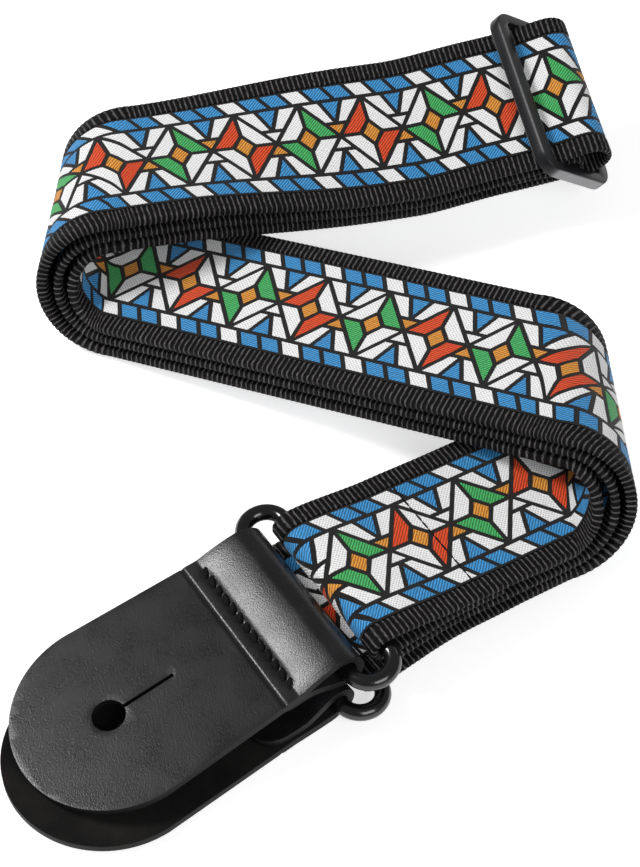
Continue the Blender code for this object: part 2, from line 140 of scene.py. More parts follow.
class StageSettings(bpy.types.PropertyGroup):
    elevation: FloatProperty(name="Elevation", description="Camera height above the horizon, in degrees",
                             default=49.25)
    distance: FloatProperty(name="Distance", description="Camera to the middle of the view", unit="LENGTH",
                            default=0.663)
    lens: millimetres("Lens", "Focal length", 95.5)


def sizes():
    return bpy.context.scene.strap_sizes


def colours():
    return bpy.context.scene.strap_colours


def stage_settings():
    return bpy.context.scene.strap_stage


# Route of the folded strap.

class Bend:
    """Part of a cylinder: the strap turns by deg about an axis skewed from straight across."""

    def __init__(self, start, radius, deg, skew):
        self.start, self.radius, self.sign = start, radius, math.copysign(1.0, deg)
        self.turn = math.radians(abs(deg))
        self.reach = radius * self.turn
        self.cos, self.sin = math.cos(math.radians(skew)), math.sin(math.radians(skew))
        self.end = start + self.reach / self.cos

    def enter(self, origin, t, w, n):
        self.origin, self.n = origin + t * self.start, n
        self.axis = w * self.cos + t * self.sin
        self.b = t * self.cos - w * self.sin
        whole = np.array([self.turn])
        b2, n2 = (x[0] for x in self.turned(whole))
        t2 = b2 * self.cos + self.axis * self.sin
        w2 = self.axis * self.cos - b2 * self.sin
        return self.origin + self.arc(whole)[0] - b2 * self.reach - t2 * self.start, t2, w2, n2

    def turned(self, angle):
        c, s = np.cos(angle)[:, None], np.sin(angle)[:, None] * self.sign
        return self.b * c + self.n * s, self.n * c - self.b * s

    def arc(self, angle):
        ahead, aside = np.sin(angle)[:, None], (self.sign * (1 - np.cos(angle)))[:, None]
        return (self.b * ahead + self.n * aside) * self.radius

    def along(self, s, v):
        return (s - self.start) * self.cos - v * self.sin

    def inside(self, s, o, v):
        angle = self.along(s, v) / self.radius
        across = ((s - self.start) * self.sin + v * self.cos)[:, None]
        return self.origin + self.axis * across + self.arc(angle) + self.turned(angle)[1] * o[:, None]


SAG = Bend(SAG_START, SAG_LENGTH / math.radians(abs(SAG_DEG)), SAG_DEG, 0.0)
RIGHT_FOLD = Bend(RIGHT_S, RIGHT_R, RIGHT_WRAP, RIGHT_SKEW)
LEFT_FOLD = Bend(LEFT_S, LEFT_R, LEFT_WRAP, LEFT_SKEW)
RISE = Bend(RISE_S, RISE_LENGTH / math.radians(abs(RISE_DEG)), RISE_DEG, 0.0)
BENDS = (SAG, RIGHT_FOLD, LEFT_FOLD, RISE)
HEAD = math.radians(HEADING)
FRAMES = [(np.array(START), np.array([math.cos(HEAD), math.sin(HEAD), 0.0]),
           np.array([math.sin(HEAD), -math.cos(HEAD), 0.0]), np.array([0.0, 0.0, 1.0]))]
for bend in BENDS:
    FRAMES.append(bend.enter(*FRAMES[-1]))


def smooth(a, b, x):
    k = np.clip((x - a) / (b - a), 0.0, 1.0)
    return k * k * (3.0 - 2.0 * k)


def turned_about(pivot, degrees, s, v):
    c, k = np.cos(np.radians(degrees)), np.sin(np.radians(degrees))
    return pivot + (s - pivot) * c + v * k, v * c - (s - pivot) * k


def place(s, o, v, rear=False):
    """Points of the laid strap in metres, from side-view place s, offset o and place across v in mm."""
    s, o, v = (np.array(x, float).ravel() for x in np.broadcast_arrays(s, o, v))
    near_rings = 1.0 - smooth(YAW_START, YAW_END, s)
    near_slider = smooth(END_YAW_START, END_YAW_END, s)
    if rear:
        s, v = turned_about(RING_S - REAR_BACK, REAR_YAW * near_rings, s, v + REAR_ASIDE * near_rings)
    else:
        s, v = turned_about(RING_S, FRONT_YAW * near_rings, s, v)
    s, v = turned_about(SLIDER_S, END_YAW * near_slider, s, v)
    roll = math.radians(ROLL_DEG) * smooth(ROLL_START, ROLL_END, s)
    o, v = v * np.sin(roll) + o * np.cos(roll), v * np.cos(roll) - o * np.sin(roll)
    out = np.empty((len(s), 3))
    left = np.ones(len(s), bool)

    def lay_straight(where, origin, t, w, n):
        out[where] = origin + t * s[where][:, None] + w * v[where][:, None] + n * o[where][:, None]

    for turn, before in zip(BENDS, FRAMES):
        along = turn.along(s, v)
        lay_straight(left & (along <= 0), *before)
        where = left & (along > 0) & (along < turn.reach)
        out[where] = turn.inside(s[where], o[where], v[where])
        left &= along >= turn.reach
    lay_straight(left, *FRAMES[-1])
    return out * MM


def curve(p0, d0, p1, d1, steps):
    """Smooth line from p0, leaving towards d0, to p1, arriving along d1."""
    p0, d0, p1, d1 = (np.array(x, float) for x in (p0, d0, p1, d1))
    span = np.linalg.norm(p1 - p0)
    d0, d1 = d0 / np.linalg.norm(d0) * span, d1 / np.linalg.norm(d1) * span
    k = np.linspace(0.0, 1.0, steps + 1)[:, None]
    return (p0 * (2 * k**3 - 3 * k**2 + 1) + d0 * (k**3 - 2 * k**2 + k)
            + p1 * (3 * k**2 - 2 * k**3) + d1 * (k**3 - k**2))


def arc(centre, radius, deg0, deg1, steps=48):
    a = np.radians(np.linspace(deg0, deg1, steps + 1))
    return np.array(centre) + radius * np.stack([np.cos(a), np.sin(a)], -1)


def line(p0, p1):
    """Straight line with a point about every millimetre."""
    p0, p1 = np.array(p0, float), np.array(p1, float)
    k = np.linspace(0.0, 1.0, max(2, int(np.linalg.norm(p1 - p0)) + 1))[:, None]
    return p0 * (1 - k) + p1 * k


def join(*pieces):
    """One line from several that follow each other, without doubled points."""
    points = [pieces[0][0]]
    for piece in pieces:
        points += [p for p in piece if np.linalg.norm(p - points[-1]) > 0.02]
    return np.array(points)


def lengths_along(points):
    """How far along a line each of its points is."""
    return np.concatenate([[0.0], np.cumsum(np.linalg.norm(np.diff(points, axis=0), axis=1))])


def left_of(path):
    """Direction to the left of a side-view line at each of its points."""
    d = np.gradient(path, axis=0)
    d /= np.linalg.norm(d, axis=1)[:, None]
    return np.stack([-d[:, 1], d[:, 0]], -1)


TILT = math.radians(RING_TILT)
FRONT_BAR = np.array([RING_S, RING_OFF])
FRONT_TAB_BAR = FRONT_BAR - BAR_GAP * np.array([math.cos(TILT), math.sin(TILT)])
REAR_BAR = np.array([RING_S - REAR_BACK, -RING_OFF])
REAR_TAB_BAR = REAR_BAR - (BAR_GAP, 0.0)
SLIDER_BAR = np.array([SLIDER_S, 0.0])
END_LOOP = SLIDER_BAR + (LOOP_PAST_BAR, 0.0)


def band_paths():
    """Side-view lines of the three lengths of strap, ribbon side on the left."""
    half = sizes().thickness / 2
    loop_r, bar_r = WIRE_R + EASE + half, CENTRE_BAR_R + EASE + half
    under = 2 * half + EASE
    sewn = LAYER + 0.5
    front = join(
        line((SEWN_FLAP_END, sewn - under), (SEWN_S - 5, sewn + 0.3 - under)),
        curve((SEWN_S - 5, sewn + 0.3 - under), (-1, 0), FRONT_BAR - (0, loop_r), (-1, 0), 30),
        arc(FRONT_BAR, loop_r, 270, 90),
        curve(FRONT_BAR + (0, loop_r), (1, 0), (SEWN_S - 5, sewn + 0.3), (1, -0.03), 30),
        curve((SEWN_S - 5, sewn + 0.3), (1, -0.03), (SETTLED_S, LAYER), (1, 0), 24),
        line((SETTLED_S, LAYER), (SLIDER_S - 8, LAYER)),
        curve((SLIDER_S - 8, LAYER), (1, 0), END_LOOP + (0, LAYER + 2 * LOOP_SWELL), (1, 0), 20),
        arc(END_LOOP + (0, LOOP_SWELL), LAYER + LOOP_SWELL, 90, -90),
        line(END_LOOP - (0, LAYER), END_LOOP - (6, LAYER)))
    back = join(
        line(END_LOOP - (6 + JOIN_GAP, LAYER), (SETTLED_S, -LAYER)),
        curve((SETTLED_S, -LAYER), (-1, 0), REAR_BAR - (0, loop_r), (-1, 0), 50),
        arc(REAR_BAR, loop_r, 270, 90))
    seam = SLIDER_S - TAIL_SEAM_BACK
    tail = join(
        curve(REAR_BAR + (JOIN_GAP, loop_r), (1, 0), (SETTLED_S, 0), (1, 0), 50),
        line((SETTLED_S, 0), (SLIDER_S - TAIL_FLAP - 6, 0)),
        curve((SLIDER_S - TAIL_FLAP - 6, 0), (1, 0), (seam, under / 2), (1, 0), 12),
        curve((seam, under / 2), (1, 0), SLIDER_BAR + (0, bar_r), (1, 0), 20),
        arc(SLIDER_BAR, bar_r, 90, -90),
        curve(SLIDER_BAR - (0, bar_r), (-1, 0), (seam, -under / 2), (-1, 0), 20),
        line((seam, -under / 2), (SLIDER_S - TAIL_FLAP, -under / 2)))
    return {"front": front, "back": back, "tail": tail}


class Band:
    """One length of strap, measured along its true length."""

    def __init__(self, label, path):
        self.path, self.rear = path, label != "front"
        self.at_length = lengths_along(place(path[:, 0], path[:, 1], 0.0, self.rear) / MM)
        self.length = self.at_length[-1]
        self.side = left_of(path)

    def side_view(self, along):
        along = np.asarray(along, float)
        return [np.interp(along, self.at_length, column) for column in
                (self.path[:, 0], self.path[:, 1], self.side[:, 0], self.side[:, 1])]

    def at(self, along, v, h):
        s, o, ns, no = self.side_view(along)
        return place(s + ns * h, o + no * h, v, self.rear)

    def stations(self, flat_step, bent_step):
        """Places along the band that are close together only where it bends, at any place across."""
        fine = np.linspace(0.0, self.length, int(self.length / bent_step) + 1)
        turn = np.zeros(len(fine))
        for v in (-20.0, 0.0, 20.0):
            d = np.diff(self.at(fine, v, 0.0), axis=0)
            d /= np.linalg.norm(d, axis=1)[:, None]
            turn[1:-1] = np.maximum(turn[1:-1], np.linalg.norm(np.diff(d, axis=0), axis=1))
        keep = [0.0]
        for there, bent in zip(fine, turn):
            if there - keep[-1] >= flat_step or (bent > 0.004 and there > keep[-1]):
                keep.append(float(there))
        return np.array(keep[:-1] + [self.length] if self.length - keep[-1] < 0.3 else keep + [self.length])


# Small modelling helpers.

def deselect():
    if bpy.context.object and bpy.context.object.mode != "OBJECT":
        bpy.ops.object.mode_set(mode="OBJECT")
    bpy.ops.object.select_all(action="DESELECT")


def make_active(ob):
    deselect()
    ob.select_set(True)
    bpy.context.view_layer.objects.active = ob


def mesh_piece(name, points, faces, uv=None, material_of_face=None):
    mesh = bpy.data.meshes.new(name)
    mesh.from_pydata(np.asarray(points).tolist(), [], [list(map(int, f)) for f in faces])
    if uv is not None:
        layer = mesh.uv_layers.new(name="weave")
        corner = np.empty(len(mesh.loops), np.int32)
        mesh.loops.foreach_get("vertex_index", corner)
        layer.data.foreach_set("uv", np.asarray(uv, np.float32)[corner].ravel())
    if material_of_face is not None:
        mesh.polygons.foreach_set("material_index", np.asarray(material_of_face, np.int32))
    mesh.update()
    ob = bpy.data.objects.new(name, mesh)
    bpy.context.scene.collection.objects.link(ob)
    return ob


def outward(ob):
    make_active(ob)
    bpy.ops.object.mode_set(mode="EDIT")
    bpy.ops.mesh.select_all(action="SELECT")
    bpy.ops.mesh.normals_make_consistent(inside=False)
    bpy.ops.object.mode_set(mode="OBJECT")


def soften(ob, degrees):
    make_active(ob)
    bpy.ops.object.shade_smooth_by_angle(angle=math.radians(degrees))
    deselect()


def apply_modifier(ob, kind, **values):
    make_active(ob)
    mod = ob.modifiers.new(kind.lower(), kind)
    for key, value in values.items():
        setattr(mod, key, value)
    bpy.ops.object.modifier_apply(modifier=mod.name)
    deselect()


def points_of(ob):
    """Where a piece's vertices are, a row for each."""
    flat = np.empty(len(ob.data.vertices) * 3)
    ob.data.vertices.foreach_get("co", flat)
    return flat.reshape(-1, 3)


def move_points(ob, function):
    """Sends every vertex of a piece through function, an array of points to an array of points."""
    ob.data.vertices.foreach_set("co", np.asarray(function(points_of(ob))).ravel())
    ob.data.update()


def paint_sheen(ob, painted_sheen):
    """Marks how much painted sheen, a paler colour standing in for a highlight, each vertex gets: the given
    function turns an array of points into values from 0 to 1.
    """
    marks = ob.data.attributes.new("rubbed", "FLOAT", "POINT")
    marks.data.foreach_set("value", painted_sheen(points_of(ob)).astype(np.float32))


# Materials.

class Sheet:
    """A node tree being filled from left to right."""

    def __init__(self, tree):
        self.tree = tree

    def feed(self, socket, value):
        """Joins a socket to another one, or sets it to a colour or a number."""
        if isinstance(value, bpy.types.NodeSocket):
            self.tree.links.new(value, socket)
        elif isinstance(value, tuple):
            socket.default_value = (*value, 1.0)
        else:
            socket.default_value = value

    def fill(self, node, inputs):
        for key, value in inputs.items():
            self.feed(node.inputs[key], value)

    def add(self, kind, inputs=None, **settings):
        node = self.tree.nodes.new(kind)
        for key, value in settings.items():
            setattr(node, key, value)
        self.fill(node, inputs or {})
        return node

    def math(self, operation, *values):
        return self.add("ShaderNodeMath", dict(enumerate(values)), operation=operation).outputs[0]

    def plus(self, a, b):
        return self.math("ADD", a, b)

    def times(self, a, b):
        return self.math("MULTIPLY", a, b)

    def mix(self, factor, a, b):
        return self.add("ShaderNodeMix", {0: factor, 6: a, 7: b}, data_type="RGBA").outputs[2]

    def ramp(self, value, low, high, out_low=0.0, out_high=1.0):
        inputs = (value, low, high, out_low, out_high)
        return self.add("ShaderNodeMapRange", dict(enumerate(inputs))).outputs[0]

    def noise(self, where, scale, detail, distortion=0.0, dimensions="3D"):
        inputs = {"Vector": where, "Scale": scale, "Detail": detail, "Distortion": distortion}
        return self.add("ShaderNodeTexNoise", inputs, noise_dimensions=dimensions).outputs["Fac"]


def new_group(name, inputs, outputs):
    """An empty group. An input has a default number, or None where it takes a place; outputs are numbers."""
    tree = bpy.data.node_groups.new(name, "ShaderNodeTree")
    for label, value in inputs.items():
        kind = "NodeSocketVector" if value is None else "NodeSocketFloat"
        socket = tree.interface.new_socket(name=label, in_out="INPUT", socket_type=kind)
        if value is not None:
            socket.default_value = value
    for label in outputs:
        tree.interface.new_socket(name=label, in_out="OUTPUT", socket_type="NodeSocketFloat")
    sheet = Sheet(tree)
    return sheet, sheet.add("NodeGroupInput").outputs, sheet.add("NodeGroupOutput")


def yarn_group():
    """Crossing threads of a cloth: Lean 0 gives dots of a plain weave, 1 the slanted lines of a twill."""
    name = "yarn weave"
    if name in bpy.data.node_groups:
        return bpy.data.node_groups[name]
    sheet, given, result = new_group(name, {"Vector": None, "Along": 0.65, "Across": 0.65, "Lean": 0.0},
                                     ("Height", "Shade"))
    where, lean = given["Vector"], given["Lean"]
    parts = sheet.add("ShaderNodeSeparateXYZ", {0: where}).outputs
    sway = sheet.times(sheet.math("SUBTRACT", sheet.noise(where, 1.1, 3.0, dimensions="2D"), 0.5), 0.5)
    u = sheet.plus(sheet.math("DIVIDE", parts[0], given["Along"]), sway)
    u = sheet.times(u, math.tau)
    v = sheet.times(sheet.math("DIVIDE", parts[1], given["Across"]), math.tau)
    dots = sheet.times(sheet.math("SINE", u), sheet.math("SINE", v))
    lines = sheet.math("SINE", sheet.plus(u, v))
    wave = sheet.plus(sheet.times(dots, sheet.math("SUBTRACT", 1.0, lean)),
                      sheet.times(lines, lean))
    height = sheet.ramp(wave, -1.0, 1.0)
    fluff = sheet.noise(where, 5.5, 4.0, dimensions="2D")
    shade = sheet.plus(sheet.times(height, 0.7), sheet.times(fluff, 0.45))
    sheet.fill(result, {"Height": height, "Shade": shade})
    return sheet.tree


def grain_group():
    """Pebbled grain and fine pores of leather or moulded plastic, and its cloudy blotches."""
    name = "fine grain"
    if name in bpy.data.node_groups:
        return bpy.data.node_groups[name]
    sheet, given, result = new_group(name, {"Vector": None, "Scale": 1500.0}, ("Height", "Blotch"))
    where, scale = given["Vector"], given["Scale"]
    cells = sheet.add("ShaderNodeTexVoronoi", {"Vector": where, "Scale": scale, "Smoothness": 0.4},
                      feature="SMOOTH_F1").outputs["Distance"]
    pores = sheet.noise(where, sheet.times(scale, 0.55), 5.0)
    blotch = sheet.noise(where, sheet.times(scale, 0.035), 3.0)
    height = sheet.plus(sheet.times(cells, 0.6), sheet.times(pores, 0.6))
    sheet.fill(result, {"Height": height, "Blotch": blotch})
    return sheet.tree


def new_material(name):
    mat = bpy.data.materials.new(name)
    mat.use_nodes = True
    return mat, Sheet(mat.node_tree), mat.node_tree.nodes["Principled BSDF"]


def weave(sheet, along, across, lean):
    """The piece's own weave map, in millimetres, and yarn laid on it."""
    uv = sheet.add("ShaderNodeUVMap", uv_map="weave").outputs[0]
    return uv, sheet.add("ShaderNodeGroup", {"Vector": uv, "Along": along, "Across": across, "Lean": lean},
                         node_tree=yarn_group()).outputs


def grained(sheet, scale):
    """Places on the piece, and a grain over them."""
    where = sheet.add("ShaderNodeTexCoord").outputs["Object"]
    grain = sheet.add("ShaderNodeGroup", {"Vector": where, "Scale": scale}, node_tree=grain_group())
    return where, grain.outputs


# Per-vertex amount of painted sheen: a paler colour standing in for a highlight or reflection.
def rubbed(sheet):
    return sheet.add("ShaderNodeAttribute", attribute_name="rubbed").outputs["Fac"]


def bump(sheet, height, distance, strength=1.0, over=None):
    inputs = {"Strength": strength, "Distance": distance, "Height": height}
    if over is not None:
        inputs["Normal"] = over
    return sheet.add("ShaderNodeBump", inputs).outputs["Normal"]


def shaded(colour, factor):
    return tuple(min(1.0, c * factor) for c in colour)


def yarn_material(name, colour, along, across, lean, dark=0.42, light=1.3, full=0.85, roughness=0.62,
                  sheen=0.15):
    """Woven yarn, dark between its threads and light on them."""
    mat, sheet, bsdf = new_material(name)
    _, yarn = weave(sheet, along, across, lean)
    on_thread = sheet.ramp(yarn["Shade"], 0.2, full)
    sheet.fill(bsdf, {
        "Base Color": sheet.mix(on_thread, shaded(colour, dark), shaded(colour, light)),
        "Roughness": sheet.ramp(yarn["Shade"], 0.0, 1.0, roughness + 0.12, roughness - 0.1),
        "Sheen Weight": sheen,
        "Sheen Roughness": 0.4,
        "Specular IOR Level": 0.3,
        "Normal": bump(sheet, yarn["Height"], 0.00016)})
    return mat


def rib_material():
    """Black webbing: fluffy yarn with an uneven painted highlight along the crest of each rib."""
    mat, sheet, bsdf = new_material("webbing_yarn")
    uv, yarn = weave(sheet, along=0.5, across=0.55, lean=0.3)
    along = sheet.add("ShaderNodeSeparateXYZ", {0: uv}).outputs[0]
    uneven = sheet.noise(uv, 0.6, 2.0)
    sway = sheet.times(sheet.math("SUBTRACT", uneven, 0.5), 2.6)
    turn = sheet.plus(sheet.times(along, math.tau / sizes().rib_pitch), sway)
    # Paler colour painted on each rib's crest, a painted highlight, uneven along the rib.
    crest_highlight = sheet.ramp(sheet.math("COSINE", turn), -0.3, -1.0)
    crest_highlight = sheet.times(crest_highlight, sheet.ramp(yarn["Shade"], 0.3, 0.85, 0.1, 1.0))
    crest_highlight = sheet.times(crest_highlight, sheet.ramp(uneven, 0.38, 0.62, 0.4, 1.0))
    sheet.fill(bsdf, {
        "Base Color": sheet.mix(crest_highlight, tuple(colours().webbing), (0.25, 0.236, 0.241)),
        "Roughness": 0.7,
        "Specular IOR Level": 0.12,
        "Normal": bump(sheet, yarn["Height"], 0.00012)})
    return mat


def leather_material():
    """Dyed grain side, with a paler colour painted between the stitches and the ring as painted sheen."""
    mat, sheet, bsdf = new_material("black_leather")
    where, grain = grained(sheet, 2900.0)
    black = tuple(colours().leather)
    speck = sheet.ramp(grain["Height"], 0.35, 0.75)
    # Speckled paler colour painted where the vertices are marked for it, as painted sheen.
    painted_sheen = sheet.times(rubbed(sheet), sheet.plus(sheet.times(speck, 0.6), 0.4))
    plain = sheet.mix(sheet.ramp(grain["Blotch"], 0.35, 0.7), shaded(black, 0.75), shaded(black, 1.4))
    smoothness = sheet.ramp(grain["Blotch"], 0.3, 0.75, 0.27, 0.34)
    specks = sheet.times(sheet.math("SUBTRACT", speck, 0.5), 0.08)
    creases = sheet.noise(where, 160.0, 5.0, distortion=1.2)
    sheet.fill(bsdf, {
        "Base Color": sheet.mix(painted_sheen, plain, (0.055, 0.054, 0.054)),
        "Roughness": sheet.plus(smoothness, specks),
        "Specular IOR Level": 0.5,
        "Normal": bump(sheet, grain["Height"], 0.00006, 0.8, bump(sheet, creases, 0.0002, 0.06))})
    return mat


def suede_material():
    """Flesh side of the leather."""
    mat, sheet, bsdf = new_material("suede_side")
    _, grain = grained(sheet, 2600.0)
    patches = sheet.ramp(grain["Blotch"], 0.3, 0.75)
    sheet.fill(bsdf, {
        "Base Color": sheet.mix(patches, (0.005, 0.0045, 0.0045), (0.014, 0.013, 0.012)),
        "Roughness": 0.95,
        "Sheen Weight": 0.08,
        "Specular IOR Level": 0.1,
        "Normal": bump(sheet, grain["Height"], 0.0003, 0.8)})
    return mat


def gloss_material(name, colour, roughness, grain_scale, depth, coat=0.0, level=0.5, painted_sheen=None):
    """Smooth finish in one colour, or with a given paler colour painted where the piece is marked, as painted
    sheen broken up like scuffs.
    """
    mat, sheet, bsdf = new_material(name)
    _, grain = grained(sheet, grain_scale)
    shown = sheet.mix(sheet.ramp(grain["Blotch"], 0.3, 0.75), shaded(colour, 0.8), shaded(colour, 1.3))
    if painted_sheen:
        # Painted sheen: the paler colour, broken up by the grain like scuffs, where the vertices are marked.
        scuffed_sheen = sheet.ramp(grain["Height"], 0.25, 0.65, 0.65, 1.0)
        shown = sheet.mix(sheet.times(rubbed(sheet), scuffed_sheen), shown, painted_sheen)
    sheet.fill(bsdf, {
        "Base Color": shown,
        "Roughness": sheet.ramp(grain["Blotch"], 0.3, 0.75, roughness - 0.04, roughness + 0.06),
        "Specular IOR Level": level,
        "Coat Weight": coat,
        "Coat Roughness": 0.08,
        "Normal": bump(sheet, grain["Height"], depth, 0.5)})
    return mat


def thread_material():
    """Twisted and waxed thread."""
    name = "waxed_thread"
    if name in bpy.data.materials:
        return bpy.data.materials[name]
    mat, sheet, bsdf = new_material(name)
    where = sheet.add("ShaderNodeTexCoord").outputs["Object"]
    twist = sheet.add("ShaderNodeTexWave", {"Vector": where, "Scale": 700.0, "Distortion": 1.0},
                      bands_direction="DIAGONAL").outputs["Fac"]
    sheet.fill(bsdf, {
        "Base Color": sheet.mix(twist, (0.002, 0.002, 0.002), (0.009, 0.0085, 0.0085)),
        "Roughness": 0.62,
        "Specular IOR Level": 0.15,
        "Normal": bump(sheet, twist, 0.00015, 0.8)})
    return mat


# Woven bands.

def margin_section():
    """Outline of the webbing: place across, height, the way its ribs stand (2), how much, how bound it is."""
    half_w, half_t = sizes().width / 2, sizes().thickness / 2
    bed_w = sizes().ribbon_width / 2 + 0.3
    bed = half_t - RIBBON_SUNK - GROUND_BOTTOM - BED_AIR
    r = half_t * 0.95
    near = []
    for a in np.linspace(-90, 90, 9):
        c, s = math.cos(math.radians(a)), math.sin(math.radians(a))
        near.append((half_w - r + r * c, half_t * s, c, s, 1.0, 1.0))
    for v in np.linspace(half_w - r, bed_w + 0.5, 4)[1:]:
        near.append((v, half_t, 0.0, 1.0, 1.0, 0.0))
    near += [(bed_w + 0.1, half_t - 0.12, -0.7, 0.7, 0.6, 0.0), (bed_w, bed, 0.0, 1.0, 0.0, 0.0)]
    top = [(v, bed, 0.0, 1.0, 0.0, 0.0) for v in np.linspace(bed_w, -bed_w, 9)[1:-1]]
    far = [(-v, h, -dv, dh, k, m) for v, h, dv, dh, k, m in reversed(near)]
    under = [(v, -half_t, 0.0, -1.0, 0.8, float(smooth(bed_w - 1.5, bed_w, abs(v))))
             for v in (-21.8, -19.4, -17.6, -11.5, -5.5, 0.0, 5.5, 11.5, 17.6, 19.4, 21.8)]
    return np.array(near + top + far + under)


def closed_tube(rows, count):
    """Quads between rows of count points, and a cap at each end."""
    i = np.arange(rows - 1)[:, None] * count
    k = np.arange(count)[None, :]
    j = (k + 1) % count
    quads = np.stack([i + k, i + j, i + count + j, i + count + k], -1).reshape(-1, 4)
    last = (rows - 1) * count
    return quads.tolist() + [list(range(count))[::-1], list(range(last, last + count))]


def skin(name, band, along, v, h, crease):
    """Closed skin over a band, from its places along and the rows of places across and heights there."""
    where, v, h, shape = np.repeat(along, v.shape[1]), v.ravel(), h.ravel(), v.shape
    ob = mesh_piece(name, band.at(where, v, h), closed_tube(*shape), np.stack([where, v], -1))
    outward(ob)
    soften(ob, crease)
    return ob


def woven_band(name, label, path):
    """Webbing with a row of ribs on both margins, over both edges and along the back."""
    band = Band(label, path)
    pitch, depth = sizes().rib_pitch, sizes().rib_height
    section_v, section_h, rib_v, rib_h, ribbed, bindable = margin_section().T[:, None, :]
    along = np.linspace(0.0, band.length, int(band.length / pitch) * RIB_STEPS + 1)
    lobe = (along / pitch) % 1.0
    rib = np.sqrt(np.clip(1.0 - (2.0 * lobe - 1.0) ** 2, 0.0, 1.0))
    sink = (rib - 1.0)[:, None] * depth * ribbed
    v, h = section_v + rib_v * sink, section_h + rib_h * sink
    # Its edges are bound from past the sewn flap to where it rises to the slider.
    station = band.side_view(along)[0]
    bound = smooth(SEWN_FLAP_END + 4, SETTLED_S + 8, station)
    bound *= 1 - smooth(SLIDER_S - 51, SLIDER_S - 34, station)
    bound *= sizes().binding * (TAIL_BINDING if label == "tail" else 1.0) / (sizes().thickness / 2)
    h = np.where(h < 0, h * (1.0 + bound[:, None] * bindable), h)
    return skin(name, band, along, v, h, 60.0), band


# Mosaic ribbon.

def inset(cell, gap):
    """A convex cell with every side moved in by gap."""
    cell = np.array(cell, float)
    area = np.cross(cell, np.roll(cell, -1, 0)).sum()
    if area < 0:
        cell = cell[::-1]
    d = np.roll(cell, -1, 0) - cell
    d /= np.linalg.norm(d, axis=1)[:, None]
    inner = np.stack([-d[:, 1], d[:, 0]], -1)
    moved = cell + inner * gap
    out = []
    for i in range(len(cell)):
        a, b = moved[i - 1], moved[i]
        da, db = d[i - 1], d[i]
        k = np.cross(b - a, db) / np.cross(da, db)
        out.append(a + da * k)
    return np.array(out)


def mosaic_cells():
    """Cells of one repeat: harlequin lozenges on the middle line, split wedges between them, edge bars."""
    repeat, half_w = sizes().repeat, sizes().ribbon_width / 2
    half = repeat / 2
    inner = half_w * 0.70
    cells = []
    for i, tint in enumerate(("green", "red")):
        c = half * (i + 0.5)
        big = np.array([(c - half / 2, 0), (c, inner), (c + half / 2, 0), (c, -inner)])
        middle = np.array([c, 0.0])
        core = middle + (big - middle) * 0.34
        cells.append(("orange", core))
        for q in range(4):
            r = (q + 1) % 4
            cells.append((tint if q % 2 == i else "white", [core[q], core[r], big[r], big[q]]))
        for side in (1, -1):
            a, b = np.array([c, inner * side]), np.array([c + half, inner * side])
            apex = np.array([c + half / 2, 0.0])
            low_a, low_b = apex + (a - apex) * 0.36, apex + (b - apex) * 0.36
            top_a, top_b = a + (b - a) * 0.32, a + (b - a) * 0.68
            foot = (low_a + low_b) / 2
            cells.append(("orange" if i == (side > 0) else "white", [apex, low_a, low_b]))
            cells.append(("white", [low_a, foot, top_a, a]))
            cells.append(("blue", [foot, top_b, top_a]))
            cells.append(("white", [foot, low_b, b, top_b]))
    bars = 6
    for k in range(bars):
        step = repeat / bars
        for side in (1, -1):
            lean = step * 0.5 * side
            x = k * step + (0 if side > 0 else step * 0.25)
            cells.append(("white" if k % 3 == 1 else "blue",
                          [(x, inner * side), (x + step, inner * side), (x + step + lean, half_w * side),
                           (x + lean, half_w * side)]))
    return cells


CELL_YARNS = ("white", "blue", "orange", "red", "green")


def cell_plates(name, band, low, high):
    """Raised cells of the mosaic, laid out flat, cut where the strap bends, then laid on the band."""
    gap, repeat, half_w = sizes().leading / 2, sizes().repeat, sizes().ribbon_width / 2
    bm = bmesh.new()
    for tile in range(-2, int(band.length / repeat) + 2):
        for yarn, cell in mosaic_cells():
            ring = inset(cell, gap)
            ring[:, 0] += tile * repeat + PATTERN_SHIFT
            if ring[:, 0].max() < 0.3 or ring[:, 0].min() > band.length - 0.3:
                continue
            face = bm.faces.new([bm.verts.new((x, y, 0.0)) for x, y in ring])
            face.material_index = CELL_YARNS.index(yarn)
    cuts = [((x, 0, 0), (1, 0, 0), False) for x in band.stations(FLAT_STEP, BENT_STEP)[1:-1]]
    cuts += [((0, y, 0), (0, 1, 0), False) for y in np.linspace(-half_w, half_w, 13)[1:-1]]
    cuts += [((0.4, 0, 0), (-1, 0, 0), True), ((band.length - 0.4, 0, 0), (1, 0, 0), True),
             ((0, half_w - 0.25, 0), (0, 1, 0), True), ((0, 0.25 - half_w, 0), (0, -1, 0), True)]
    for co, no, trim in cuts:
        bmesh.ops.bisect_plane(bm, geom=bm.verts[:] + bm.edges[:] + bm.faces[:], dist=0.0004,
                               plane_co=co, plane_no=no, clear_outer=trim)
    bm.verts.index_update()
    flat = np.array([v.co for v in bm.verts])
    count = len(flat)
    faces, tints = [], []
    for f in bm.faces:
        ids = [v.index for v in f.verts]
        if f.normal.z < 0:
            ids = ids[::-1]
        faces += [ids, [i + count for i in reversed(ids)]]
        tints += [f.material_index] * 2
    for e in bm.edges:
        if len(e.link_faces) == 1:
            a, b = e.verts[0].index, e.verts[1].index
            faces.append([a, b, b + count, a + count])
            tints.append(e.link_faces[0].material_index)
    bm.free()
    heights = np.concatenate([np.full(count, high), np.full(count, low)])
    flat = np.concatenate([flat, flat])
    points = band.at(flat[:, 0], flat[:, 1], heights)
    ob = mesh_piece(name, points, faces, flat[:, :2], tints)
    outward(ob)
    soften(ob, 50.0)
    return ob


